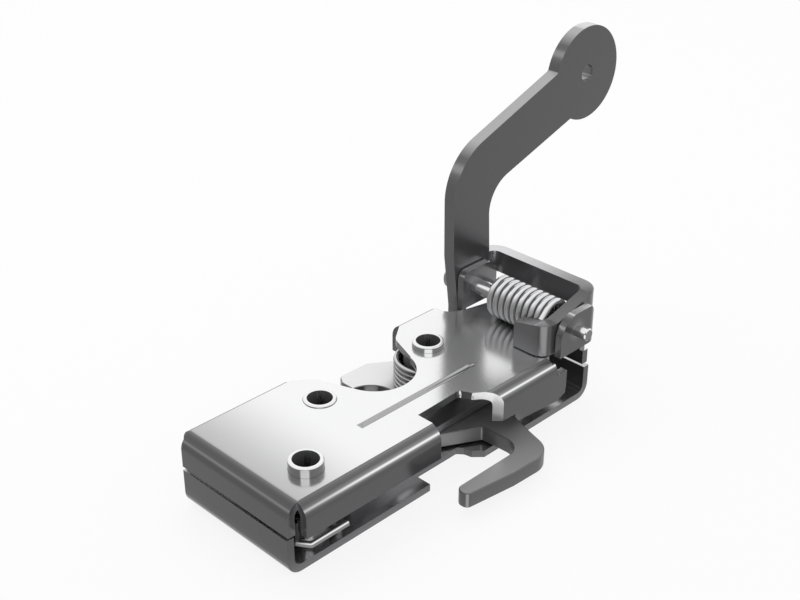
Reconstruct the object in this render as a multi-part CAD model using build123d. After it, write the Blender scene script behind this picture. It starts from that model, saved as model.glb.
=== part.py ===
from build123d import *
from math import acos, atan2, cos, degrees, radians, sin, sqrt
import os

# Cab door latch with a swinging hook, a trip lever and hollow mounting posts. Millimetres, +Z up.
# Places are measured from the left face and the near edge of the bottom plate, and its underside.
# The origin of the finished part is on the hook's axis at the mounting face.

# Sheet and bends
SHEET = 2.0
BEND_OUT = 4.0
BEND_IN = BEND_OUT - SHEET
LENGTH = 106.0
DEPTH = 40.1
HEIGHT = 20.0
LEFT_FLANGE_TOP = 10.3
RIGHT_FLANGE_TOP = 9.4
FLANGE_GAP = 1.0
NEAR_OVERHANG = 3.45
TOP_UNDER = HEIGHT - SHEET
TOP_FLANGE_LOW = LEFT_FLANGE_TOP + FLANGE_GAP
CORNER_RELIEF = 2.9
SIDE_DEPTH = DEPTH - CORNER_RELIEF
NEAR_FACE = -NEAR_OVERHANG
FLANGE_RIGHT = 92.0
SKIRT_LOW = 7.4
GROOVE_FROM = (33.5, 10.5)
GROOVE_LENGTH = 38.0
GROOVE_R = 1.5
GROOVE_DEPTH = 0.3
PAST = 60.0  # how far a cut runs on past the sheet

# Posts that the latch is screwed through
BORE_R = 3.2
COLLAR_R = 4.15
COLLAR_FIT = 0.05
POST_1 = (12.4, 7.2)
POST_2 = (33.3, 25.9)
POST_3 = (70.0, 25.0)
POST_1_TOP = HEIGHT + 2.5
POST_2_TOP = HEIGHT + 0.4
POST_3_TOP = HEIGHT + 1.5
SMALL_BODY_R = 5.0
HOOK_BODY_R = 6.5
RUN_FIT = 0.05

# Throat, in which the striker is caught
THROAT_LEFT = 45.1
THROAT_RIGHT = 64.7
THROAT_BACK = 5.9

# Hook
HOOK_LOW = 2.6
HOOK_THICK = 4.2
HOOK_TOP = HOOK_LOW + HOOK_THICK
WASHER_THICK = 0.5
WASHER_R = 10.0
HUB_R = 16.0
GULLET_R = 7.3
GULLET = (55.4, 31.5)
HOOK_RIM_Y = 14.5
LIMB_END = 49.2

# Hook spring
HOOK_WIRE = 1.5
HOOK_COIL_OUT = 9.0
HOOK_COIL_TURNS = 6.0
HOOK_COIL_TOP = TOP_UNDER - 1.0
HOOK_LEG_R = 12.0
HOOK_LEG_ANGLE = 200.0
HOOK_LEG_2_ANGLE = 213.0

# Locking slide
SLIDE_LOW = SHEET + 0.3
SLIDE_GAP = 0.3
SLIDE_TOP = HOOK_TOP + SLIDE_GAP
SLIDE_TRAVEL = 4.6
SLIDE_END = 50.7
BOLT_LOW_Y = 8.0
BOLT_TOP_Y = 12.5
SLIDE_RIGHT = 46.5
SLIDE_LEFT = 11.8
SLIDE_NEAR = 18.5
SLIDE_FAR = 33.5
STUD = (17.5, 25.9)
STUD_R = 2.5
STUD_HEAD_R = 4.5
STUD_HEAD = 1.5
SLOT_SPARE = 0.2

# Release bar
BAR_THICK = 2.0
BAR_TOP = SLIDE_TOP + BAR_THICK
BAR_LEFT = 26.0
BAR_NEAR = 8.5
BAR_FAR = 12.5
BAR_ARM = 3.6
RIVET_R = 1.5
RIVET_HEAD_R = 2.4
RIVET_HEAD = 1.0
RIVET_X = (30.0, 41.0)

# Slide spring
SLIDE_WIRE = 1.8
SLIDE_COIL_R = 6.8
SLIDE_COIL_LOW = 9.6
SLIDE_COIL_PITCH = 1.95
SLIDE_COIL_START = 190.0
SLIDE_LEG_ANGLE = 155.0
LEG_FROM = (7.3, 0.65)
LEG_ELBOW = (4.9, 2.9)
LEG_END_X = 18.3
LEG_Z = 5.0
LEG_LEAD = 1.5
STOP_PIN_R = 1.3
STOP_PIN_X = 17.0
STOP_PIN_TOP = 5.3

# Ears and lever
PIN_X = 95.0
PIN_Z = HEIGHT + 6.0
PIN_R = 2.2
PIN_TIP_R = 1.7
PIN_PROUD = 3.8
PIN_HEAD_R = 3.8
PIN_HEAD = 1.8
NEAR_EAR_LEFT = 88.9
NEAR_EAR_CORNER = 6.0
FAR_EAR_LEFT = 90.3
FAR_EAR_CORNER = 2.5
EAR_TOP = PIN_Z + 4.8
EAR_LOW = HEIGHT - 0.1
END_OUT = 104.3
FAR_EAR_OUT = DEPTH - 6.6
POST_STRIP_TOP = HEIGHT + 3.2
POST_STRIP_WIDE = 5.5
EAR_TIE = 1.5
LEVER_THICK = 3.5
ARM_GAP = 0.5
ARM_NEAR = FAR_EAR_OUT + ARM_GAP
ARM_FAR = ARM_NEAR + LEVER_THICK
NEAR_ARM_OUT = -0.9
WEB_IN = 105.0
WEB_OUT = WEB_IN + LEVER_THICK
WEB_LOW = PIN_Z
WEB_TOP = PIN_Z + 6.2
WEB_BEND = 6.0
TAB_BEND = 4.0
TAB_LEFT = 85.0
TAB_END = 9.1
TAB_LOW = HEIGHT + 0.3
TAB_TOP = PIN_Z + 2.9
ARM_LEFT = 88.5
FOOT_LEFT = 91.0
ARM_LOW = 6.5
PAD = (142.0, PIN_Z + 47.5)
PAD_R = 13.3
PAD_HOLE_R = 2.4

# Lever spring
LEVER_WIRE = 1.7
LEVER_COIL_R = 4.95
LEVER_COIL_NEAR = 4.2
LEVER_COIL_FAR = 22.5
LEVER_COIL_TURNS = 9.0

ORIGIN = Location((-POST_3[0], -POST_3[1], 0))


def slab(points, low, high):
    """A flat piece with the outline in the XY plane; a point's third number rounds its corner."""
    face = make_face(Polyline(*[p[:2] for p in points], close=True))
    return rounded(Pos(0, 0, low) * extrude(face, amount=high - low), points, Axis.Z)


def upright(points, near, far):
    """A flat piece with the outline in X and Z, between two values of Y; third numbers as in slab."""
    face = make_face(Plane.XZ * Polyline(*[p[:2] for p in points], close=True))
    return rounded(Pos(0, far, 0) * extrude(face, amount=far - near, dir=(0, -1, 0)), points, Axis.Y)


def rounded(piece, points, along):
    """Rounds the corners whose points have a radius."""
    for across, up, radius in [p for p in points if len(p) == 3]:
        edges = piece.edges().filter_by(along)
        corner = min(edges, key=lambda e: off_corner(e.center(), across, up, along))
        piece = fillet(corner, radius)
    return piece


def off_corner(centre, across, up, along):
    """How far an edge's middle is from a corner of the outline."""
    height = centre.Y if along == Axis.Z else centre.Z
    return abs(centre.X - across) + abs(height - up)


def disc(centre, radius, low, high):
    """A round piece on a vertical axis."""
    return Pos(centre[0], centre[1], (low + high) / 2) * Cylinder(radius, high - low)


def cross_pin(radius, near, far):
    """A round piece on the lever's axis."""
    middle = (near + far) / 2
    return Pos(PIN_X, middle, PIN_Z) * Rot(90, 0, 0) * Cylinder(radius, far - near)


def block(x_range, y_range, z_range):
    """A box between two values on each axis."""
    size = [b - a for a, b in (x_range, y_range, z_range)]
    return Pos(x_range[0], y_range[0], z_range[0]) * Box(*size, align=(Align.MIN,) * 3)


def slot(centre, radius, travel, low, high):
    """A straight slot along X that a post runs in."""
    ends = disc(centre, radius, low, high) + disc((centre[0] + travel, centre[1]), radius, low, high)
    middle = block((centre[0], centre[0] + travel), (centre[1] - radius, centre[1] + radius), (low, high))
    return ends + middle


def upright_fillet(piece, radius, test):
    """Rounds the upright edges whose place passes the test."""
    edges = [e for e in piece.edges().filter_by(Axis.Z) if test(e.center())]
    return fillet(edges, radius)


def folded_strip(x_range, y_range, z_range, along, edge):
    """A bent sheet: a box rounded along one axis, hollowed to the sheet's thickness.

    along is the bends' axis, and edge picks the top (-1) or bottom (0) pair of bends.
    """
    outer = block(x_range, y_range, z_range)
    outer = fillet(outer.edges().filter_by(along).group_by(Axis.Z)[edge], BEND_OUT)
    cross = y_range if along == Axis.X else x_range
    inside = (cross[0] + SHEET, cross[1] - SHEET)
    high = (z_range[0] - 1, z_range[1] - SHEET) if edge == -1 else (z_range[0] + SHEET, z_range[1] + 1)
    if along == Axis.X:
        inner = block((x_range[0] - 1, x_range[1] + 1), inside, high)
    else:
        inner = block(inside, (y_range[0] - 1, y_range[1] + 1), high)
    inner = fillet(inner.edges().filter_by(along).group_by(Axis.Z)[edge], BEND_IN)
    return outer - inner


def post(centre, body_r, top):
    """A hollow post: a shouldered body between the plates, its ends through both."""
    tube = disc(centre, body_r, SHEET, TOP_UNDER) + disc(centre, COLLAR_R, 0, top)
    rim = tube.edges().filter_by(GeomType.CIRCLE).group_by(Axis.Z)[-1]
    return fillet(rim, 0.4) - disc(centre, BORE_R, -1, top + 1)


def post_holes(low, high):
    """The holes in a plate for the ends of the three posts."""
    return [disc(p, COLLAR_R + COLLAR_FIT, low, high) for p in (POST_1, POST_2, POST_3)]


def bottom_plate():
    """The mounting plate with a flange folded up at each end and the lower throat."""
    plate = folded_strip((0, LENGTH), (0, DEPTH), (0, LEFT_FLANGE_TOP), Axis.Y, 0)
    plate -= block((-1, BEND_OUT), (SIDE_DEPTH, DEPTH + 1), (-1, HEIGHT))
    plate -= block((LENGTH - BEND_OUT, LENGTH + 1), (SIDE_DEPTH, DEPTH + 1), (-1, HEIGHT))
    plate -= block((LENGTH / 2, LENGTH + 1), (-1, DEPTH + 1), (RIGHT_FLANGE_TOP, HEIGHT))
    throat = [(THROAT_LEFT, -1), (THROAT_LEFT, THROAT_BACK), (60.7, THROAT_BACK, 0.8),
              (62.0, 4.3, 0.8), (62.4, 2.3, 0.8), (THROAT_RIGHT, 0.1), (THROAT_RIGHT, -1)]
    plate -= slab(throat, -1, SHEET + 1)
    stud_hole = disc(STUD, STUD_R + COLLAR_FIT, -1, SHEET + 1)
    pin_hole = disc(stop_pin_place(), STOP_PIN_R + COLLAR_FIT, -1, SHEET + 1)
    plate = plate - post_holes(-1, SHEET + 1) - stud_hole - pin_hole
    return upright_fillet(plate, 1.0, lambda c: c.Y > DEPTH - 0.1)


def top_throat():
    """The throat cut through the top plate and its near flange."""
    outline = [(THROAT_LEFT, -9), (THROAT_LEFT, 4.3), (59.8, 4.75, 1.2), (61.3, 1.6, 1.2), (65.5, -1.5),
               (67.4, -3.4), (67.4, -9)]
    return slab(outline, -1, HEIGHT + 1)


def back_notch():
    """The rounded opening in the back of the top plate, over the hook's gullet."""
    low, high = -1, HEIGHT + 1
    bay = disc((52.3, 26.3), 10.4, low, high)
    neck = slab([(42.0, 24.0), (38.5, DEPTH - 6.6, 4.0), (33.0, DEPTH - 2.5), (33.0, DEPTH + 1),
                 (72.0, DEPTH + 1), (72.0, DEPTH - 2.7), (66.2, DEPTH - 6.9, 4.0), (62.7, 24.0)], low, high)
    return bay + neck


def near_flange_edge():
    """What lies below the shaped lower edge of the right near flange."""
    low = TOP_FLANGE_LOW
    outline = [(65.0, -1), (65.0, low), (71.5, low - 0.3), (73.3, 8.7), (88.3, SKIRT_LOW), (91.8, 8.6),
               (FLANGE_RIGHT, 10.5), (FLANGE_RIGHT, -1)]
    return upright(outline, -9, -1.0)


def folded_ear(outer, inward, left, corner):
    """An ear for the lever's pin, bent round from a strip that rises off the end flange.

    outer is its outside face, inward the side its bend turns to along Y.
    """
    foot = outer + inward * (POST_STRIP_WIDE + BEND_OUT)
    inside = outer + inward * SHEET
    ear = block((left, END_OUT), sorted((outer, foot)), (EAR_LOW, EAR_TOP))
    ear = upright_fillet(ear, BEND_OUT, lambda c: c.X > END_OUT - 1 and abs(c.Y - outer) < 1)
    inner = block((0, END_OUT - SHEET), sorted((inside, outer + inward * PAST)), (0, PAST))
    inner = upright_fillet(inner, BEND_IN, lambda c: c.X > END_OUT - 3 and abs(c.Y - inside) < 0.5)
    ear -= inner
    corners = [e for e in ear.edges().filter_by(Axis.Y)
               if e.center().Z > EAR_TOP - 1 and e.center().X < left + 1]
    ear = fillet(corners, corner)
    over = sorted((inside, outer + inward * PAST / 2))
    ear -= block((END_OUT - BEND_OUT - 3, END_OUT + 1), over, (POST_STRIP_TOP, PAST))
    wall = (END_OUT - SHEET, END_OUT)
    strip = block(wall, sorted((outer + inward * BEND_OUT, foot)), (TOP_FLANGE_LOW, EAR_LOW + 0.5))
    tie = block(wall, sorted((foot, foot + inward * EAR_TIE)), (TOP_FLANGE_LOW, HEIGHT - BEND_OUT))
    return ear + strip + tie


def ear_side_cut():
    """Rounds the raised right corners of both ears, seen along the pin."""
    low = POST_STRIP_TOP
    outline = [(END_OUT - 0.2, low + 3.5), (END_OUT - 1.4, low + 5.2), (END_OUT - 3.6, EAR_TOP + 0.1),
               (END_OUT + 1, EAR_TOP + 0.1), (END_OUT + 1, low + 3.5)]
    return upright(outline, -9, DEPTH + 9)


def groove():
    """The shallow groove along X in the cover's top, round in section and at both ends."""
    rod = Rot(0, 90, 0) * Cylinder(GROOVE_R, GROOVE_LENGTH) + Pos(GROOVE_LENGTH / 2, 0, 0) * Sphere(GROOVE_R)
    rod += Pos(-GROOVE_LENGTH / 2, 0, 0) * Sphere(GROOVE_R)
    middle = GROOVE_FROM[0] + GROOVE_LENGTH / 2
    return Pos(middle, GROOVE_FROM[1], HEIGHT + GROOVE_R - GROOVE_DEPTH) * rod


def top_plate():
    """The cover: one folded sheet with side flanges, an end flange and two ears."""
    low = TOP_FLANGE_LOW
    high = HEIGHT + 1
    side = (NEAR_FACE + CORNER_RELIEF, SIDE_DEPTH)
    across = folded_strip((CORNER_RELIEF, FLANGE_RIGHT), (NEAR_FACE, DEPTH), (low, HEIGHT), Axis.X, -1)
    along = folded_strip((0, END_OUT), side, (low, HEIGHT), Axis.Y, -1)
    across -= block((-1, BEND_OUT), side, (-1, high))
    across -= block((87.0, END_OUT), (-9, 0.6), (TOP_UNDER + 0.5, high))
    across -= block((85.5, END_OUT), (ARM_NEAR, DEPTH + 1), (-1, high))
    across -= block((88.0, END_OUT), (NEAR_FACE + SHEET, DEPTH), (-1, high))
    skirt = block((72.0, FLANGE_RIGHT), (NEAR_FACE, NEAR_FACE + SHEET), (SKIRT_LOW, low + 1))
    far = FAR_EAR_OUT
    step_x = END_OUT - 6.3
    right = END_OUT + 6
    near_corner = slab([(88.0, -9), (88.0, 0.6), (91.5, 5.0), (step_x, 5.0), (step_x, 6.0), (right, 6.0),
                        (right, -9)], HEIGHT - BEND_OUT - 0.7, high)
    far_corner = slab([(85.9, PAST), (85.9, far + 1.2), (87.2, far - 0.9), (91.0, far - 2.5),
                       (step_x - 0.5, far - 4.0), (step_x, far - 10.1), (right, far - 10.1), (right, PAST)],
                      -1, high)
    plate = across + along - near_corner - far_corner + skirt
    plate += folded_ear(NEAR_FACE, 1, NEAR_EAR_LEFT, NEAR_EAR_CORNER)
    plate += folded_ear(far, -1, FAR_EAR_LEFT, FAR_EAR_CORNER)
    plate = plate - near_flange_edge() - top_throat() - back_notch() - ear_side_cut()
    plate = plate - post_holes(low, high) - cross_pin(PIN_R + RUN_FIT, -9, DEPTH)
    return plate - groove()


def hook():
    """The swinging hook: a J round the throat, a limb that the slide holds, and a tail."""
    hub = POST_3
    outline = [(67.0, 2.9, 0.8), (67.5, -9.7, 4.8), (43.35, -9.7, 1.9), (43.45, -13.4, 1.6), (58.1, -15.4),
               (71.2, -15.95, 6.5), (79.0, 10.0), (hub[0] + HUB_R, 25.0), (82.0, 36.0), (74.3, 40.6),
               (67.3, 45.3, 1.0), (57.6, 45.5, 1.5), (56.0, 43.0), (56.0, 38.0), (50.0, 24.5),
               (LIMB_END, 22.5), (LIMB_END, HOOK_RIM_Y), (52.3, HOOK_RIM_Y - 1.0), (57.1, 8.2)]
    body = slab(outline, HOOK_LOW, HOOK_TOP) + disc(hub, HUB_R, HOOK_LOW, HOOK_TOP)
    body -= disc(GULLET, GULLET_R, 0, HEIGHT)
    body -= disc(ring_point(hub, HOOK_LEG_R, HOOK_LEG_ANGLE), HOOK_WIRE / 2 + 0.15, 0, HEIGHT)
    return body - disc(hub, HOOK_BODY_R + RUN_FIT, 0, HEIGHT)


def hook_washer():
    """The thin washer that the hook turns on."""
    high = SHEET + WASHER_THICK
    return disc(POST_3, WASHER_R, SHEET, high) - disc(POST_3, HOOK_BODY_R + RUN_FIT, 0, HEIGHT)


def wire_along(route, wire_r):
    """A round wire along joined lines and helices."""
    path = Wire([piece.edges()[0] for piece in route])
    section = Plane(origin=path @ 0, z_dir=path % 0) * Circle(wire_r)
    return sweep(section, path=path, transition=Transition.ROUND)


def coil_spring(radius, wire_r, turns, pitch, legs, tip=0):
    """A round-wire spring about +Z from z = 0, starting on +X.

    legs are the lengths of its straight ends, and tip that of the first one's turn down.
    """
    helix = Helix(pitch=pitch, height=pitch * turns, radius=radius)
    begin = helix @ 0 - (helix % 0) * legs[0]
    end = helix @ 1 + (helix % 1) * legs[1]
    route = [Line(begin, helix @ 0), helix, Line(helix @ 1, end)]
    if tip:
        route.insert(0, Line(begin - Vector(0, 0, tip), begin))
    return wire_along(route, wire_r)


def tangent_turn(centre, radius, point, side):
    """The angle at which a line from a point touches a circle, in degrees, and its length."""
    across, up = point[0] - centre[0], point[1] - centre[1]
    distance = sqrt(across * across + up * up)
    angle = degrees(atan2(up, across)) + side * degrees(acos(radius / distance))
    return angle, sqrt(distance * distance - radius * radius)


def ring_point(centre, radius, angle):
    """A point on a circle about a vertical axis, in degrees from +X."""
    return (centre[0] + radius * cos(radians(angle)), centre[1] + radius * sin(radians(angle)))


def hook_leg_start():
    """Where the coil of the hook's spring begins, so that its leg meets the hook's hole."""
    return HOOK_LEG_ANGLE + degrees(acos((HOOK_COIL_OUT - HOOK_WIRE / 2) / HOOK_LEG_R))


def hook_spring():
    """The coil spring round the hook's post, with a leg in the hook and one on the near flange."""
    wire_r = HOOK_WIRE / 2
    mean = HOOK_COIL_OUT - wire_r
    low = HOOK_TOP + 0.4 + wire_r
    first = hook_leg_start()
    turns = HOOK_COIL_TURNS + (HOOK_LEG_2_ANGLE - first) / 360
    pitch = (HOOK_COIL_TOP - wire_r - low) / turns
    start = ring_point(POST_3, mean, HOOK_LEG_2_ANGLE)
    flange = NEAR_FACE + SHEET + wire_r + 0.4
    reach = (start[1] - flange) / -cos(radians(HOOK_LEG_2_ANGLE))
    leg = sqrt(HOOK_LEG_R ** 2 - mean ** 2)
    body = coil_spring(mean, wire_r, turns, pitch, (leg, reach), tip=low - HOOK_LOW - 1.5)
    return Pos(*POST_3, low) * Rot(0, 0, first) * body


def locking_slide():
    """The flat slide that blocks the hook's limb."""
    outline = [(SLIDE_LEFT, SLIDE_NEAR), (22.0, SLIDE_NEAR), (BAR_LEFT, 15.0), (BAR_LEFT, BOLT_LOW_Y),
               (SLIDE_END, BOLT_LOW_Y), (SLIDE_END, BOLT_TOP_Y), (SLIDE_RIGHT - 1, BOLT_TOP_Y),
               (SLIDE_RIGHT, BOLT_TOP_Y + 2), (SLIDE_RIGHT, SLIDE_FAR), (SLIDE_LEFT, SLIDE_FAR)]
    body = slab(outline, SLIDE_LOW, SLIDE_TOP)
    body = upright_fillet(body, 1.5, lambda c: c.Y > SLIDE_FAR - 1 or c.X < SLIDE_LEFT + 1)
    travel = SLIDE_TRAVEL + SLOT_SPARE
    body -= slot(POST_2, SMALL_BODY_R + RUN_FIT, travel, 0, HEIGHT)
    body -= slot(STUD, STUD_R + RUN_FIT, travel, 0, HEIGHT)
    return body - rivet_holes(SLIDE_LOW - 1, SLIDE_TOP + 1)


def rivet_holes(low, high):
    """The holes for the two rivets that join the slide and the release bar."""
    middle = (BAR_NEAR + BAR_FAR) / 2
    return [disc((x, middle), RIVET_R + COLLAR_FIT, low, high) for x in RIVET_X]


def release_bar():
    """The flat bar from the slide to the lever's lower end."""
    right = FOOT_LEFT - 0.3
    end = ARM_FAR - 0.3
    outline = [(BAR_LEFT, BAR_NEAR), (right, BAR_NEAR), (right, end), (right - BAR_ARM, end),
               (right - BAR_ARM, BAR_FAR), (BAR_LEFT, BAR_FAR)]
    body = slab([p + (1.2,) for p in outline], SLIDE_TOP, BAR_TOP)
    return body - rivet_holes(SLIDE_LOW, HEIGHT)


def bar_rivets():
    """The two rivets of the release bar, with their heads on top."""
    middle = (BAR_NEAR + BAR_FAR) / 2
    shanks = [disc((x, middle), RIVET_R, SLIDE_LOW + 0.2, BAR_TOP) for x in RIVET_X]
    heads = [disc((x, middle), RIVET_HEAD_R, BAR_TOP, BAR_TOP + RIVET_HEAD) for x in RIVET_X]
    return Compound(children=[shank + head for shank, head in zip(shanks, heads)])


def guide_stud():
    """The headed stud that guides the slide's left end."""
    low = SLIDE_TOP + 0.3
    return disc(STUD, STUD_R, 0, low) + disc(STUD, STUD_HEAD_R, low, low + STUD_HEAD)


def stop_pin_place():
    """Beside the visible leg of the slide's spring."""
    return (STOP_PIN_X, LEG_FROM[1] + SLIDE_WIRE / 2 + STOP_PIN_R + 0.05)


def stop_pin():
    """The short pin that the leg of the slide's spring bears on."""
    return disc(stop_pin_place(), STOP_PIN_R, 0, STOP_PIN_TOP)


def slide_spring():
    """The coil spring round the left post, one leg along the near edge and one on the slide."""
    wire_r = SLIDE_WIRE / 2
    turns = (SLIDE_COIL_START - SLIDE_LEG_ANGLE) / 360 + 2
    helix = Helix(pitch=SLIDE_COIL_PITCH, height=SLIDE_COIL_PITCH * turns, radius=SLIDE_COIL_R, lefthand=True)
    helix = Pos(*POST_1, SLIDE_COIL_LOW) * Rot(0, 0, SLIDE_COIL_START) * helix
    begin = helix @ 0 - (helix % 0) * LEG_LEAD
    lead = [(LEG_END_X, LEG_FROM[1], LEG_Z), (*LEG_FROM, LEG_Z), (*LEG_ELBOW, LEG_Z + 0.6), begin, helix @ 0]
    across = SLIDE_LEFT - wire_r - 0.1 - (helix @ 1).X
    end = helix @ 1 + (helix % 1) * (across / (helix % 1).X)
    foot = Vector(end.X, end.Y, SLIDE_LOW + 1.5)
    route = [Line(a, b) for a, b in zip(lead, lead[1:])] + [helix, Line(helix @ 1, end), Line(end, foot)]
    return wire_along(route, wire_r)


def lever_pin():
    """The pin through both ears, with a thinner near end and its head behind the long arm."""
    head = ARM_FAR + 0.3
    tip = cross_pin(PIN_TIP_R, NEAR_FACE - PIN_PROUD, NEAR_FACE)
    tip = chamfer(tip.edges().filter_by(GeomType.CIRCLE).group_by(Axis.Y)[0], 0.3)
    return tip + cross_pin(PIN_R, NEAR_FACE, head) + cross_pin(PIN_HEAD_R, head, head + PIN_HEAD)


def lever_frame():
    """The lever's folded base: near arm, web, tab and the root of the long arm."""
    near_in = NEAR_ARM_OUT + LEVER_THICK
    tab_in = TAB_LEFT + LEVER_THICK
    outer = block((TAB_LEFT, WEB_OUT), (NEAR_ARM_OUT, ARM_FAR), (TAB_LOW, WEB_TOP + 0.3))
    outer = upright_fillet(outer, WEB_BEND, lambda c: c.X > WEB_IN)
    outer = upright_fillet(outer, TAB_BEND, lambda c: c.X < tab_in and c.Y < 0)
    inner = block((tab_in, WEB_IN), (near_in, ARM_NEAR), (0, PAST))
    inner = upright_fillet(inner, WEB_BEND - LEVER_THICK, lambda c: c.X > WEB_IN - 1)
    inner = upright_fillet(inner, TAB_BEND - LEVER_THICK, lambda c: c.X < tab_in + 1 and c.Y < near_in + 1)
    frame = outer - inner - block((0, ARM_LEFT), (TAB_END, DEPTH), (0, PAST))
    frame -= block((0, 100.5), (ARM_NEAR, DEPTH + 1), (0, PAST))
    side = [(TAB_LEFT - 1, TAB_LOW), (ARM_LEFT + 1, TAB_LOW), (98.5, TAB_LOW + 1.2), (101.2, WEB_LOW),
            (WEB_OUT + 1, WEB_LOW), (WEB_OUT + 1, WEB_TOP), (103.5, WEB_TOP), (90.5, TAB_TOP),
            (TAB_LEFT - 1, TAB_TOP)]
    frame = frame & upright(side, -9, DEPTH)
    far = TAB_END + 1
    above = Polyline((near_in, TAB_TOP), (far, TAB_TOP - 1.7), (far, PAST), (near_in, PAST), close=True)
    slope = make_face(Plane.YZ * above)
    return frame - Pos(TAB_LEFT - 1, 0, 0) * extrude(slope, amount=LEVER_THICK + 1.2, dir=(1, 0, 0))


def trip_lever():
    """The folded lever: base, long arm with its round pad, and the lower end."""
    middle = (ARM_NEAR + ARM_FAR) / 2
    arm = [(FOOT_LEFT, ARM_LOW), (94.0, ARM_LOW), (94.5, HEIGHT - 0.5), (100.5, WEB_LOW), (102.6, WEB_LOW),
           (103.3, PIN_Z + 6.6), (102.3, PIN_Z + 24.8, 10.0), (136.5, PIN_Z + 36.0), PAD,
           (129.4, PIN_Z + 50.9), (128.4, PIN_Z + 50.2), (ARM_LEFT + 0.1, PIN_Z + 35.5, 16.0),
           (ARM_LEFT + 0.5, PIN_Z + 8.6), (FOOT_LEFT, PIN_Z - 7.0)]
    plate = upright(arm, ARM_NEAR, ARM_FAR)
    pad = Pos(PAD[0], middle, PAD[1]) * Rot(90, 0, 0) * Cylinder(PAD_R, LEVER_THICK)
    hole = Pos(PAD[0], middle, PAD[1]) * Rot(90, 0, 0) * Cylinder(PAD_HOLE_R, LEVER_THICK + 2)
    return lever_frame() + plate + pad - hole - cross_pin(PIN_R + RUN_FIT, -9, DEPTH + 9)


def lever_spring():
    """The coil spring round the lever's pin, one leg behind the tab and one on the far strip."""
    wire_r = LEVER_WIRE / 2
    axis = (PIN_X, PIN_Z)
    on_tab = (TAB_LEFT + LEVER_THICK + wire_r + 0.1, PIN_Z + 1.9)
    on_strip = (END_OUT - 1.1, POST_STRIP_TOP + wire_r + 0.3)
    first, leg_1 = tangent_turn(axis, LEVER_COIL_R, on_tab, -1)
    last, leg_2 = tangent_turn(axis, LEVER_COIL_R, on_strip, 1)
    turns = LEVER_COIL_TURNS + (first - last) / 360
    pitch = (LEVER_COIL_FAR - LEVER_COIL_NEAR) / turns
    body = coil_spring(LEVER_COIL_R, wire_r, turns, pitch, (leg_1, leg_2))
    return Pos(PIN_X, LEVER_COIL_NEAR, PIN_Z) * Rot(-90, 0, 0) * Rot(0, 0, -first) * body


NODES = {
    "bottom_plate": bottom_plate,
    "top_plate": top_plate,
    "post_left": lambda: post(POST_1, SMALL_BODY_R, POST_1_TOP),
    "post_middle": lambda: post(POST_2, SMALL_BODY_R, POST_2_TOP),
    "post_right": lambda: post(POST_3, HOOK_BODY_R, POST_3_TOP),
    "guide_stud": guide_stud,
    "spring_stop_pin": stop_pin,
    "hook_washer": hook_washer,
    "hook": hook,
    "hook_spring": hook_spring,
    "locking_slide": locking_slide,
    "release_bar": release_bar,
    "bar_rivets": bar_rivets,
    "slide_spring": slide_spring,
    "trip_lever": trip_lever,
    "lever_pin": lever_pin,
    "lever_spring": lever_spring,
}

os.makedirs("parts", exist_ok=True)
for name, make in NODES.items():
    export_step(ORIGIN * make(), os.path.join("parts", name + ".step"))
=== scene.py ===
from functools import reduce
from math import pi, radians

import bmesh
import bpy
from bpy.props import FloatProperty, FloatVectorProperty, PointerProperty
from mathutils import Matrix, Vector


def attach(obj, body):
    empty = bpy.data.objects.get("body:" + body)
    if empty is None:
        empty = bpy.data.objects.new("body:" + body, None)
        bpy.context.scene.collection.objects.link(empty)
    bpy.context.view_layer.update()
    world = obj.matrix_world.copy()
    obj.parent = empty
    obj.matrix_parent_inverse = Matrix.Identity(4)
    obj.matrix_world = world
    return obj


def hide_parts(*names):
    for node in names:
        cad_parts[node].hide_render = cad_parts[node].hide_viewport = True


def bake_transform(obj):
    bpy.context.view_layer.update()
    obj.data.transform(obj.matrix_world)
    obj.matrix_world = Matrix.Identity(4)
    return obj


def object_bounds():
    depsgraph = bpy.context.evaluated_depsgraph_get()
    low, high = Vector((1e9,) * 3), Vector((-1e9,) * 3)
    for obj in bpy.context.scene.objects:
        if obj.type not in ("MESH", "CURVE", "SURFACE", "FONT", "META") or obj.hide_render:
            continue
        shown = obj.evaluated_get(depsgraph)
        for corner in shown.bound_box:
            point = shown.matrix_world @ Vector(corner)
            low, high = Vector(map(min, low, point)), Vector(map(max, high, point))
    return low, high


bl_info = {
    "name": "Cab Door Latch",
    "version": (1, 0, 0),
    "blender": (4, 5, 0),
    "location": "View3D > Sidebar > Latch",
    "description": "Dresses the packed latch in zinc-plated sheet, turned posts and bright springs",
    "category": "Object",
}

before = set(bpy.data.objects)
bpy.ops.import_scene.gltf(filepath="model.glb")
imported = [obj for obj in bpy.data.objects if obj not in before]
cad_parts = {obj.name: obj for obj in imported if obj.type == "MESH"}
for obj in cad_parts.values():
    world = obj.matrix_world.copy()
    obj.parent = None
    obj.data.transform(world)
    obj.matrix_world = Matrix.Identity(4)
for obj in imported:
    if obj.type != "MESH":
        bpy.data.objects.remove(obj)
CAD_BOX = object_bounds()
MM = 0.001
# Painted light and shade: how bright plated sheet is painted as it turns from level (1) over a bend to
# upright (0) and under (-1), with a painted highlight line part way round the bend.
PAINTED_TURN = ((-1.0, 0.30), (-0.60, 0.05), (0.0, 0.0), (0.28, 0.0), (0.40, 0.06), (0.48, 0.24), (0.545, 0.97),
        (0.59, 0.97), (0.66, 0.22), (0.80, 0.04), (0.90, 0.07), (0.965, 0.24), (0.985, 0.90), (1.0, 1.0))
# The block round the cover's groove, which takes a painted grey shade: its middle and half its size along X,
# Y and Z.
GROOVE_SHADE_BLOCK = ((-18.9 * MM, 19.3 * MM), (-14.5 * MM, 1.05 * MM), (19.6 * MM, 0.6 * MM))
GROOVE_SHADE_SOFT = 0.1 * MM
# The way that the painted glint on upright bends and rims faces, and how squarely it begins and is full.
GLINT_WAY = (-0.7071, -0.7071, 0.0)
GLINT_SPAN = (0.955, 0.995)
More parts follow.
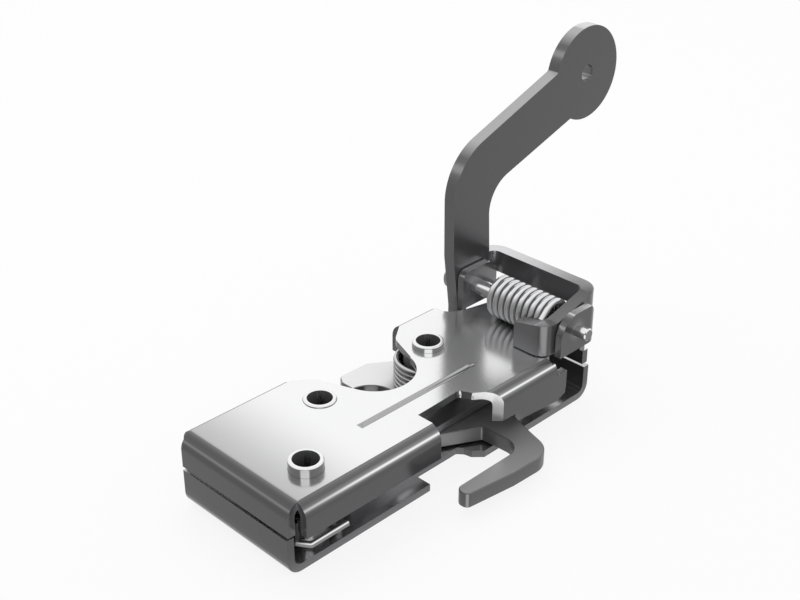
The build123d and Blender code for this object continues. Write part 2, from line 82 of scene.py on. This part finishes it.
# How far other surfaces are felt in a hollow, and how many rays feel for them, for the painted fill light and
# painted shade in hollows.
HOLLOW_REACH = 9 * MM
HOLLOW_RAYS = 8
# A painted highlight: an edge that slants up past a material's "Slant from" by this much takes its whole
# "Slant" share of the bright face tone.
SLANT_SPAN = 0.22
# The blotches in the plating, the tone that they dull it by and the roughness that they add.
BLOTCH_SCALE = 28.0
BLOTCH_DETAIL = 3.0
BLOTCH_TONE = (0.25, 0.25, 0.26)
BLOTCH_ROUGHNESS = 0.08
# The plating's fine grain, which only its relief shows.
GRAIN_SCALE = 700.0
GRAIN_DETAIL = 2.0
GRAIN_STRENGTH = 0.02
GRAIN_HEIGHT = 0.2 * MM
# Vertices closer than WELD are one, faces that turn by less than FLAT are one, edges over SHARP are rounded.
WELD = 1e-6
FLAT = radians(0.8)
SHARP = radians(32)
EDGE_STEPS = 3
# The floor reaches this far from the middle each way, in metres, and lies this much under the latch.
FLOOR_HALF = 3.0
FLOOR_GAP = 0.2 * MM
# The floor's paper, and the share of its shading that the camera sees on it.
PAPER_TONE = 0.86
PAPER_ROUGHNESS = 0.8
PAPER_SHADOW = 0.14
# The lamp hangs behind the latch and points at the frame's origin. Its sizes and place are in metres.
LAMP_SIZE = (0.5, 0.4)
LAMP_PLACE = (0.10, 0.25, 0.55)
# The camera's sensor in millimetres and its nearest sight in metres.
SENSOR = 36.0
NEAR_CLIP = 0.01


class LatchEdges(bpy.types.PropertyGroup):
    """How far the sheared edges are rounded."""

    sheet: FloatProperty(name="Sheet edge", description="Rounding of the sheared sheet edges",
                         default=0.22 * MM, unit="LENGTH")
    hook: FloatProperty(name="Hook edge", description="Rounding of the hook's edges",
                        default=0.35 * MM, unit="LENGTH")
    lever: FloatProperty(name="Lever edge", description="Rounding of the lever's edges",
                         default=0.40 * MM, unit="LENGTH")


class LatchFinish(bpy.types.PropertyGroup):
    """The tones of the plated and plain steel. Each face tone and its side tone are painted lit and shaded
    copies of one finish; the fades, the groove tone and the near black inside steel are painted shade, and
    the hook's tail tone is painted light.
    """

    plate: FloatVectorProperty(name="Plate", description="Bright zinc on the housing",
                               default=(0.95, 0.95, 0.955), subtype="COLOR")
    # Painted shade: the housing's face tone grows darker towards its left end.
    plate_end_shade: FloatVectorProperty(name="Plate end", description="Duller zinc at the housing's left end",
                                   default=(0.50, 0.50, 0.505), subtype="COLOR")
    # Painted shade: a flat grey laid over the pressed groove in place of the shading of its walls.
    groove: FloatVectorProperty(name="Groove", description="The pressed groove in the cover",
                                default=(0.42, 0.42, 0.425), subtype="COLOR")
    mount: FloatVectorProperty(name="Mounting plate", description="Zinc on the mounting plate's level faces",
                               default=(0.60, 0.60, 0.605), subtype="COLOR")
    # Painted shade: the dark tone of the housing's upright faces.
    plate_side_shade: FloatVectorProperty(name="Plate side", description="Zinc on the folded sides",
                                    default=(0.085, 0.085, 0.088), subtype="COLOR")
    # Painted shade: the dark tone of the posts' walls.
    post_side_shade: FloatVectorProperty(name="Post side", description="Zinc on the posts' walls",
                                   default=(0.18, 0.18, 0.184), subtype="COLOR")
    lever: FloatVectorProperty(name="Lever", description="Zinc on the trip lever",
                               default=(0.72, 0.72, 0.73), subtype="COLOR")
    # Painted shade: the lever's face tone grows darker towards its near end.
    lever_near_shade: FloatVectorProperty(name="Lever near", description="Duller zinc at the lever's near end",
                                    default=(0.26, 0.26, 0.265), subtype="COLOR")
    # Painted shade: the dark tone of the lever's upright faces.
    lever_side_shade: FloatVectorProperty(name="Lever side", description="Zinc on the lever's upright faces",
                                    default=(0.084, 0.084, 0.087), subtype="COLOR")
    hook: FloatVectorProperty(name="Hook", description="Plated hardened steel of the hook",
                              default=(0.34, 0.34, 0.345), subtype="COLOR")
    # Painted light: the hook's face tone grows brighter towards its tail.
    hook_tail_light: FloatVectorProperty(name="Hook tail", description="Brighter plating on the hook's tail",
                                   default=(0.88, 0.88, 0.885), subtype="COLOR")
    # Painted shade: the dark tone of the hook's sheared sides.
    hook_side_shade: FloatVectorProperty(name="Hook side", description="The hook's sheared sides",
                                   default=(0.100, 0.100, 0.102), subtype="COLOR")
    # Painted shade: near black for the steel parts inside the housing, where there is only shade.
    inner: FloatVectorProperty(name="Inner steel", description="Plain steel inside the housing",
                               default=(0.022, 0.022, 0.023), subtype="COLOR")
    wire: FloatVectorProperty(name="Wire", description="Bright drawn spring wire",
                              default=(0.90, 0.90, 0.91), subtype="COLOR")
    # Painted shade: the dark tone of the wire's lower turn.
    wire_side_shade: FloatVectorProperty(name="Wire side", description="The darker turn of the wire",
                                   default=(0.24, 0.24, 0.244), subtype="COLOR")
    # Painted shade: the dark side tone of the spring inside the housing.
    inner_wire_shade: FloatVectorProperty(name="Inner wire", description="Wire of the springs inside the housing",
                                    default=(0.12, 0.12, 0.122), subtype="COLOR")


class LatchStage(bpy.types.PropertyGroup):
    """The camera and the light."""

    azimuth: FloatProperty(name="Azimuth", description="Camera heading", default=radians(45.0),
                           subtype="ANGLE")
    elevation: FloatProperty(name="Elevation", description="Camera height angle",
                             default=radians(28.833), subtype="ANGLE")
    place: FloatVectorProperty(name="Place", description="Camera position",
                               default=(-0.213025, -0.202800, 0.195187), subtype="TRANSLATION")
    lens: FloatProperty(name="Lens", description="Focal length in millimetres on a 36 mm sensor",
                        default=59.63)
    world: FloatProperty(name="World light", description="Strength of the world light", default=0.85)
    lamp: FloatProperty(name="Top lamp", description="Power of the soft lamp overhead, in watts", default=0.9)


def edges():
    """The edge settings."""
    return bpy.context.scene.latch_edges


def finish():
    """The finish settings."""
    return bpy.context.scene.latch_finish


def group_tree(name, inputs, outputs):
    """A new shader node group, the sockets that give its inputs and those that take its outputs."""
    tree = bpy.data.node_groups.new(name, "ShaderNodeTree")
    for label, kind, value in inputs:
        socket = tree.interface.new_socket(label, in_out="INPUT", socket_type=kind)
        socket.default_value = value
    for label, kind in outputs:
        tree.interface.new_socket(label, in_out="OUTPUT", socket_type=kind)
    return tree, tree.nodes.new("NodeGroupInput").outputs, tree.nodes.new("NodeGroupOutput").inputs


def feed(tree, socket, value):
    """Gives an input its value: a number, a colour of three numbers or another node's socket."""
    if isinstance(value, bpy.types.NodeSocket):
        tree.links.new(value, socket)
    elif isinstance(value, (int, float)):
        socket.default_value = value
    else:
        socket.default_value = (*value, 1)


def maths(tree, operation, *values):
    """The result of one operation on numbers or value sockets."""
    node = tree.nodes.new("ShaderNodeMath")
    node.operation = operation
    for socket, value in zip(node.inputs, values):
        feed(tree, socket, value)
    return node.outputs[0]


def product(tree, *values):
    """The product of some value sockets."""
    return reduce(lambda result, value: maths(tree, "MULTIPLY", result, value), values)


def spread(tree, value, low, high, start, stop, smooth=False):
    """A value socket carried from one range to another. start and stop are numbers or sockets."""
    carry = tree.nodes.new("ShaderNodeMapRange")
    if smooth:
        carry.interpolation_type = "SMOOTHSTEP"
    for label, end in (("Value", value), ("From Min", low), ("From Max", high), ("To Min", start),
                       ("To Max", stop)):
        feed(tree, carry.inputs[label], end)
    return carry.outputs["Result"]


def mixed(tree, share, first, second, kind="MIX"):
    """Two colours mixed by a share. Each of the three is a value or a socket."""
    mix = tree.nodes.new("ShaderNodeMix")
    mix.data_type = "RGBA"
    mix.blend_type = kind
    for label, value in (("Factor", share), ("A", first), ("B", second)):
        feed(tree, mix.inputs[label], value)
    return mix.outputs["Result"]


def multiplied(tree, colour, factor):
    """A colour socket times a value socket."""
    return mixed(tree, 1.0, colour, factor, "MULTIPLY")


def noise(tree, place, scale, detail):
    """Soft noise over a piece."""
    node = tree.nodes.new("ShaderNodeTexNoise")
    for label, value in (("Vector", place), ("Scale", scale), ("Detail", detail)):
        feed(tree, node.inputs[label], value)
    return node.outputs["Fac"]


def split_axes(tree, vector):
    """The sockets X, Y and Z of a vector socket."""
    split = tree.nodes.new("ShaderNodeSeparateXYZ")
    tree.links.new(vector, split.inputs[0])
    return split.outputs


def object_place(tree):
    """The socket with the place on the piece, in the shared frame."""
    return tree.nodes.new("ShaderNodeTexCoord").outputs["Object"]


def painted_turn_ramp(tree, level):
    """The share of the bright face tone for how level a surface lies: painted light and shade by which way it
    faces.
    """
    ramp = tree.nodes.new("ShaderNodeValToRGB")
    stops = ramp.color_ramp.elements
    for lean, share in PAINTED_TURN:
        place = (lean + 1) / 2
        ends = [stop for stop in stops if stop.position == place]
        stop = ends[0] if ends else stops.new(place)
        stop.color = (share, share, share, 1)
    feed(tree, ramp.inputs["Fac"], spread(tree, level, -1.0, 1.0, 0.0, 1.0))
    return ramp.outputs["Color"]


def corner_glint(tree, normal):
    """A painted glint: a bright line down the near left turn of every upright bend and rim."""
    along = tree.nodes.new("ShaderNodeVectorMath")
    along.operation = "DOT_PRODUCT"
    along.inputs[1].default_value = GLINT_WAY
    tree.links.new(normal, along.inputs[0])
    return spread(tree, along.outputs["Value"], *GLINT_SPAN, 0.0, 1.0, smooth=True)


def painted_light_share(tree, given, normal, way):
    """The share of the bright face tone, painted light: level faces, painted highlight lines on bends,
    painted glints on corners and painted highlights on slanting edges.
    """
    # A bend that leans to the left gets a weaker painted highlight.
    lean = spread(tree, way["X"], -0.75, -0.25, 0.3, 1.0)
    bend = product(tree, painted_turn_ramp(tree, way["Z"]), lean)
    corner = product(tree, corner_glint(tree, normal), given["Glint"])
    above = maths(tree, "SUBTRACT", way["Z"], given["Slant from"])
    slant = spread(tree, above, 0.0, SLANT_SPAN, 0.0, given["Slant"])
    return maths(tree, "MAXIMUM", maths(tree, "MAXIMUM", bend, corner), slant)


def plated_group():
    """Plated steel with painted light and shade: bright level faces, dark upright ones as painted shade, a
    painted highlight line on bends, painted glints, grain and blotches.
    """
    tree, given, result = group_tree(
        "plated_steel_painted_light",
        [("Face", "NodeSocketColor", (0.8, 0.8, 0.8, 1)), ("Side", "NodeSocketColor", (0.1, 0.1, 0.1, 1)),
         ("Blotch", "NodeSocketFloat", 0.10), ("Gloss", "NodeSocketFloat", 0.14),
         ("Hollow", "NodeSocketFloat", 4.0), ("Left", "NodeSocketFloat", 1.0),
         ("Glint", "NodeSocketFloat", 1.0), ("Slant", "NodeSocketFloat", 0.0),
         ("Slant from", "NodeSocketFloat", 0.70), ("Polish", "NodeSocketFloat", 1.0)],
        [("Color", "NodeSocketColor"), ("Roughness", "NodeSocketFloat"), ("Metal", "NodeSocketFloat"),
         ("Height", "NodeSocketFloat")])
    normal = tree.nodes.new("ShaderNodeNewGeometry").outputs["Normal"]
    way = split_axes(tree, normal)
    hollow = tree.nodes.new("ShaderNodeAmbientOcclusion")
    hollow.inputs["Distance"].default_value = HOLLOW_REACH
    hollow.samples = HOLLOW_RAYS
    open_share = hollow.outputs["AO"]
    share = painted_light_share(tree, given, normal, way)
    metal = spread(tree, share, 0.0, 0.8, 0.45, 0.92)
    feed(tree, result["Metal"], product(tree, metal, given["Polish"]))

    # Painted light and shade: sides are "Hollow" times as bright in a hollow, a painted fill light, and
    # "Left" times where they face left, a painted shade.
    # Both tones are painted dark where hardly any light comes in.
    lifted = spread(tree, open_share, 0.45, 0.85, given["Hollow"], 1.0)
    side_deep = spread(tree, open_share, 0.05, 0.2, 0.25, 1.0)
    face_deep = spread(tree, open_share, 0.15, 0.35, 0.25, 1.0)
    left = spread(tree, way["X"], -0.9, -0.3, given["Left"], 1.0)
    side = multiplied(tree, given["Side"], product(tree, lifted, side_deep))
    side = multiplied(tree, side, left)
    tone = mixed(tree, share, side, multiplied(tree, given["Face"], face_deep))

    place = object_place(tree)
    cloud = noise(tree, place, BLOTCH_SCALE, BLOTCH_DETAIL)
    blotch = product(tree, cloud, given["Blotch"])
    feed(tree, result["Color"], mixed(tree, blotch, tone, BLOTCH_TONE, "MULTIPLY"))
    feed(tree, result["Height"], noise(tree, place, GRAIN_SCALE, GRAIN_DETAIL))
    feed(tree, result["Roughness"], maths(tree, "MULTIPLY_ADD", cloud, BLOTCH_ROUGHNESS, given["Gloss"]))
    return tree


def along_piece(tree, axis, start, stop, most=1.0):
    """How far a place lies between two others along the piece, from 0 to most."""
    return spread(tree, split_axes(tree, object_place(tree))[axis], start, stop, 0.0, most, smooth=True)


def groove_shade_share(tree):
    """1 inside the cover's groove and 0 elsewhere: where the painted grey shade goes."""
    split = split_axes(tree, object_place(tree))
    inside = []
    for axis, (middle, half) in zip("XYZ", GROOVE_SHADE_BLOCK):
        away = maths(tree, "ABSOLUTE", maths(tree, "SUBTRACT", split[axis], middle))
        inside.append(spread(tree, away, half - GROOVE_SHADE_SOFT, half, 1.0, 0.0))
    return product(tree, *inside)


def plated_material(name, group, face, side, amounts=(), fade=None, slant=None, groove=None, dim=None):
    """A material of plated or bright steel. amounts are values of the group's other inputs.

    fade changes the face tone along the piece, as painted shade on the housing and lever and painted light on
    the hook's tail; dim darkens both tones along it, a painted shade; slant adds a painted highlight on
    slanting edges.
    Each is an axis, two places on it and the tone or amount reached at the second. groove is a tone, a
    painted grey shade over the cover's groove.
    """
    material = bpy.data.materials.new(name)
    material.use_nodes = True
    tree = material.node_tree
    shader = tree.nodes["Principled BSDF"]
    plating = tree.nodes.new("ShaderNodeGroup")
    plating.node_tree = group
    tones = {"Face": face, "Side": side}
    if fade:
        tones["Face"] = mixed(tree, along_piece(tree, *fade[:3]), face, fade[3])
    if groove:
        share = groove_shade_share(tree)
        tones = {label: mixed(tree, share, tone, groove) for label, tone in tones.items()}
    if dim:
        share = along_piece(tree, *dim[:3])
        tones = {label: mixed(tree, share, tone, dim[3]) for label, tone in tones.items()}
    if slant:
        tones["Slant"] = along_piece(tree, *slant)
    for label, value in {**dict(amounts), **tones}.items():
        feed(tree, plating.inputs[label], value)
    rise = tree.nodes.new("ShaderNodeBump")
    rise.inputs["Strength"].default_value = GRAIN_STRENGTH
    rise.inputs["Distance"].default_value = GRAIN_HEIGHT
    for output, socket in (("Height", rise.inputs["Height"]), ("Color", shader.inputs["Base Color"]),
                           ("Roughness", shader.inputs["Roughness"]), ("Metal", shader.inputs["Metallic"])):
        tree.links.new(plating.outputs[output], socket)
    tree.links.new(rise.outputs["Normal"], shader.inputs["Normal"])


def materials():
    """All the metal finishes, made once."""
    if "housing_zinc" in bpy.data.materials:
        return bpy.data.materials
    look = finish()
    group = plated_group()
    wire = {"Gloss": 0.10, "Blotch": 0.05, "Glint": 0.1}
    # The housing's face tone is painted darker towards its left end, a painted shade, and a painted grey
    # shade lies over the groove.
    plated_material("housing_zinc", group, look.plate_end_shade, look.plate_side_shade, {"Left": 0.72},
                    fade=("X", -72 * MM, -42 * MM, look.plate), groove=look.groove)
    plated_material("mount_zinc", group, look.mount, look.plate_side_shade,
                    {"Left": 0.72, "Glint": 0.1, "Hollow": 2.5})
    # The lever's face tone is painted darker towards its near end, a painted shade, with a painted highlight
    # on the edges that slant up high on it.
    plated_material("lever_zinc", group, look.lever_near_shade, look.lever_side_shade, {"Gloss": 0.20, "Hollow": 2.0},
                    fade=("Y", -32 * MM, 8 * MM, look.lever), slant=("Z", 45 * MM, 65 * MM, 0.55))
    # The hook's face tone is painted brighter towards its tail, a painted light.
    plated_material("hook_zinc", group, look.hook, look.hook_side_shade,
                    {"Gloss": 0.30, "Hollow": 1.5, "Polish": 0.55},
                    fade=("Y", 4 * MM, 11 * MM, look.hook_tail_light))
    # Posts and pin: a painted highlight on their upward-slanting curves and a stronger painted glint.
    plated_material("post_zinc", group, look.plate, look.post_side_shade,
                    {"Gloss": 0.12, "Slant": 0.9, "Slant from": 0.35, "Hollow": 1.1, "Glint": 1.4})
    # Near black steel for the parts inside the housing: a painted shade.
    plated_material("inner_steel", group, look.inner, look.inner,
                    {"Gloss": 0.35, "Blotch": 0.4, "Hollow": 1.0})
    # The lever's spring: a painted highlight on the upper flank of every winding.
    plated_material("bright_wire", group, look.wire, look.wire_side_shade,
                    {**wire, "Hollow": 1.5, "Slant": 0.85, "Slant from": 0.5})
    # The slide spring's leg is painted near black where it rises into the housing, a painted shade, and takes
    # a painted highlight low down.
    plated_material("leg_wire", group, look.wire, look.wire_side_shade,
                    {**wire, "Hollow": 1.0, "Slant from": 0.35},
                    dim=("Z", 5.6 * MM, 6.6 * MM, look.inner), slant=("Z", 7 * MM, 5.6 * MM, 0.9))
    # The hook spring inside the housing takes a darker side tone, a painted shade.
    plated_material("coil_wire", group, look.wire, look.inner_wire_shade,
                    {**wire, "Hollow": 1.0, "Slant": 0.6, "Slant from": 0.55})
    return bpy.data.materials


def rounded_copy(node, name, width, body, material):
    """A copy of a node's shape with clean faces and rounded edges, which stands for it."""
    shape = bmesh.new()
    shape.from_mesh(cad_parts[node].data)
    bmesh.ops.remove_doubles(shape, verts=shape.verts, dist=WELD)
    bmesh.ops.dissolve_limit(shape, angle_limit=FLAT, verts=shape.verts, edges=shape.edges)
    mesh = bpy.data.meshes.new(name)
    shape.to_mesh(mesh)
    shape.free()
    mesh.polygons.foreach_set("use_smooth", [True] * len(mesh.polygons))
    mesh.materials.append(material)
    piece = bpy.data.objects.new(name, mesh)
    bpy.context.scene.collection.objects.link(piece)
    bevel = piece.modifiers.new("edge", "BEVEL")
    bevel.width = width
    bevel.segments = EDGE_STEPS
    bevel.limit_method = "ANGLE"
    bevel.angle_limit = SHARP
    bevel.harden_normals = True
    even = piece.modifiers.new("even", "WEIGHTED_NORMAL")
    even.mode = "FACE_AREA"
    even.weight = 100
    even.keep_sharp = True
    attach(piece, body)
    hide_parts(node)


def winding_copy(node, name, material):
    """A copy of a spring's shape with its own material, which stands for it."""
    piece = bpy.data.objects.new(name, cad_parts[node].data.copy())
    bpy.context.scene.collection.objects.link(piece)
    piece.data.materials.clear()
    piece.data.materials.append(material)
    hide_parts(node)
    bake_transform(piece)


def dress_nodes():
    """Gives every CAD node that stays its metal finish."""
    kinds = {
        "post_zinc": ("post_left", "post_middle", "post_right", "lever_pin"),
        # The parts inside the housing take near black steel, a painted shade.
        "inner_steel": ("guide_stud", "spring_stop_pin", "hook_washer", "locking_slide", "release_bar",
                        "bar_rivets"),
    }
    for kind, nodes in kinds.items():
        for node in nodes:
            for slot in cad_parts[node].material_slots:
                slot.material = materials()[kind]


class LATCH_OT_housing(bpy.types.Operator):
    """Builds the folded plates with rounded edges"""

    bl_idname = "latch.housing"
    bl_label = "Housing"

    def execute(self, context):
        dress_nodes()
        width = edges().sheet
        rounded_copy("top_plate", "top_cover", width, "housing", materials()["housing_zinc"])
        rounded_copy("bottom_plate", "bottom_cover", width, "housing",
                     materials()["mount_zinc"])
        return {"FINISHED"}


class LATCH_OT_hook(bpy.types.Operator):
    """Builds the swinging hook"""

    bl_idname = "latch.hook"
    bl_label = "Hook"

    def execute(self, context):
        rounded_copy("hook", "swinging_hook", edges().hook, "hook", materials()["hook_zinc"])
        return {"FINISHED"}


class LATCH_OT_springs(bpy.types.Operator):
    """Builds the three coil springs"""

    bl_idname = "latch.springs"
    bl_label = "Springs"

    def execute(self, context):
        winding_copy("slide_spring", "slide_coil", materials()["leg_wire"])
        winding_copy("hook_spring", "hook_coil", materials()["coil_wire"])
        winding_copy("lever_spring", "lever_coil", materials()["bright_wire"])
        return {"FINISHED"}


class LATCH_OT_lever(bpy.types.Operator):
    """Builds the folded trip lever"""

    bl_idname = "latch.lever"
    bl_label = "Lever"

    def execute(self, context):
        rounded_copy("trip_lever", "folded_lever", edges().lever, "lever",
                     materials()["lever_zinc"])
        return {"FINISHED"}


def seen_share(tree):
    """1 for what the camera sees, directly or in shiny metal, and 0 for light on its way elsewhere."""
    rays = tree.nodes.new("ShaderNodeLightPath").outputs
    in_metal = maths(tree, "ADD", rays["Is Glossy Ray"], rays["Is Transmission Ray"])
    seen = maths(tree, "ADD", rays["Is Camera Ray"], in_metal)
    seen.node.use_clamp = True
    return seen


def mixed_surface(tree, share, first, second, end):
    """Two shader nodes mixed by a share and led to the end node."""
    mix = tree.nodes.new("ShaderNodeMixShader")
    for socket, source in zip(mix.inputs, (share, first.outputs[0], second.outputs[0])):
        tree.links.new(source, socket)
    tree.links.new(mix.outputs[0], tree.nodes[end].inputs["Surface"])


def paper_material():
    """A pale surface that the camera and shiny metal see as near white, with the shadow kept."""
    paper = bpy.data.materials.new("pale_paper")
    paper.use_nodes = True
    tree = paper.node_tree
    shader = tree.nodes["Principled BSDF"]
    shader.inputs["Base Color"].default_value = (PAPER_TONE, PAPER_TONE, PAPER_TONE, 1)
    shader.inputs["Roughness"].default_value = PAPER_ROUGHNESS
    share = maths(tree, "MULTIPLY", seen_share(tree), 1 - PAPER_SHADOW)
    mixed_surface(tree, share, shader, tree.nodes.new("ShaderNodeEmission"), "Material Output")
    return paper


def white_world(strength):
    """A world that lights with the given strength and is seen as plain white."""
    world = bpy.data.worlds.new("studio")
    world.use_nodes = True
    tree = world.node_tree
    light, white = tree.nodes["Background"], tree.nodes.new("ShaderNodeBackground")
    for background, power in ((light, strength), (white, 1.0)):
        background.inputs["Color"].default_value = (1, 1, 1, 1)
        background.inputs["Strength"].default_value = power
    mixed_surface(tree, seen_share(tree), light, white, "World Output")
    return world


def lay_floor(scene):
    """A wide sheet of pale paper just under the latch."""
    low = CAD_BOX[0][2] - FLOOR_GAP
    corners = [(x * FLOOR_HALF, y * FLOOR_HALF, low) for x, y in ((-1, -1), (1, -1), (1, 1), (-1, 1))]
    mesh = bpy.data.meshes.new("floor")
    mesh.from_pydata(corners, [], [(0, 1, 2, 3)])
    mesh.materials.append(paper_material())
    floor = bpy.data.objects.new("floor", mesh)
    scene.collection.objects.link(floor)


def hang_lamp(scene, power):
    """A soft lamp overhead, which shiny metal doesn't show."""
    lamp = bpy.data.lights.new("soft_top", "AREA")
    lamp.shape = "RECTANGLE"
    lamp.size, lamp.size_y = LAMP_SIZE
    lamp.energy = power
    above = bpy.data.objects.new("soft_top", lamp)
    above.location = LAMP_PLACE
    above.rotation_euler = (-Vector(LAMP_PLACE)).to_track_quat("-Z", "Y").to_euler()
    above.visible_glossy = False
    scene.collection.objects.link(above)


def set_camera(scene, look):
    """The camera, where the photograph was taken from."""
    camera = bpy.data.cameras.new("camera")
    camera.lens = look.lens
    camera.sensor_width = SENSOR
    camera.clip_start = NEAR_CLIP
    eye = bpy.data.objects.new("camera", camera)
    eye.location = look.place
    eye.rotation_euler = (pi / 2 - look.elevation, 0, -look.azimuth)
    scene.collection.objects.link(eye)
    scene.camera = eye


class LATCH_OT_stage(bpy.types.Operator):
    """Sets the floor, the light and the camera"""

    bl_idname = "latch.stage"
    bl_label = "Stage"

    def execute(self, context):
        scene = context.scene
        look = scene.latch_stage
        scene.view_settings.view_transform = "Standard"
        lay_floor(scene)
        scene.world = white_world(look.world)
        hang_lamp(scene, look.lamp)
        set_camera(scene, look)
        return {"FINISHED"}


class LATCH_PT_panel(bpy.types.Panel):
    """The sidebar panel with the latch's settings and steps"""

    bl_idname = "LATCH_PT_panel"
    bl_label = "Cab Door Latch"
    bl_space_type = "VIEW_3D"
    bl_region_type = "UI"
    bl_category = "Latch"

    def draw(self, context):
        scene = context.scene
        for group in (scene.latch_edges, scene.latch_finish, scene.latch_stage):
            box = self.layout.box()
            for key in group.__annotations__:
                box.prop(group, key)
        for step in STEPS:
            self.layout.operator(step)


STEPS = ("latch.housing", "latch.hook", "latch.springs", "latch.lever", "latch.stage")
CLASSES = (LatchEdges, LatchFinish, LatchStage, LATCH_OT_housing, LATCH_OT_hook, LATCH_OT_springs,
           LATCH_OT_lever, LATCH_OT_stage, LATCH_PT_panel)


def register():
    """Registers the classes and their settings."""
    for item in CLASSES:
        bpy.utils.register_class(item)
    bpy.types.Scene.latch_edges = PointerProperty(type=LatchEdges)
    bpy.types.Scene.latch_finish = PointerProperty(type=LatchFinish)
    bpy.types.Scene.latch_stage = PointerProperty(type=LatchStage)


def unregister():
    """Takes the settings and the classes away again."""
    del bpy.types.Scene.latch_stage
    del bpy.types.Scene.latch_finish
    del bpy.types.Scene.latch_edges
    for item in reversed(CLASSES):
        bpy.utils.unregister_class(item)


def main():
    """Builds the latch and its stage."""
    register()
    bpy.ops.latch.housing()
    bpy.ops.latch.hook()
    bpy.ops.latch.springs()
    bpy.ops.latch.lever()
    bpy.ops.latch.stage()
    bpy.context.view_layer.update()


if __name__ == "__main__":
    main()
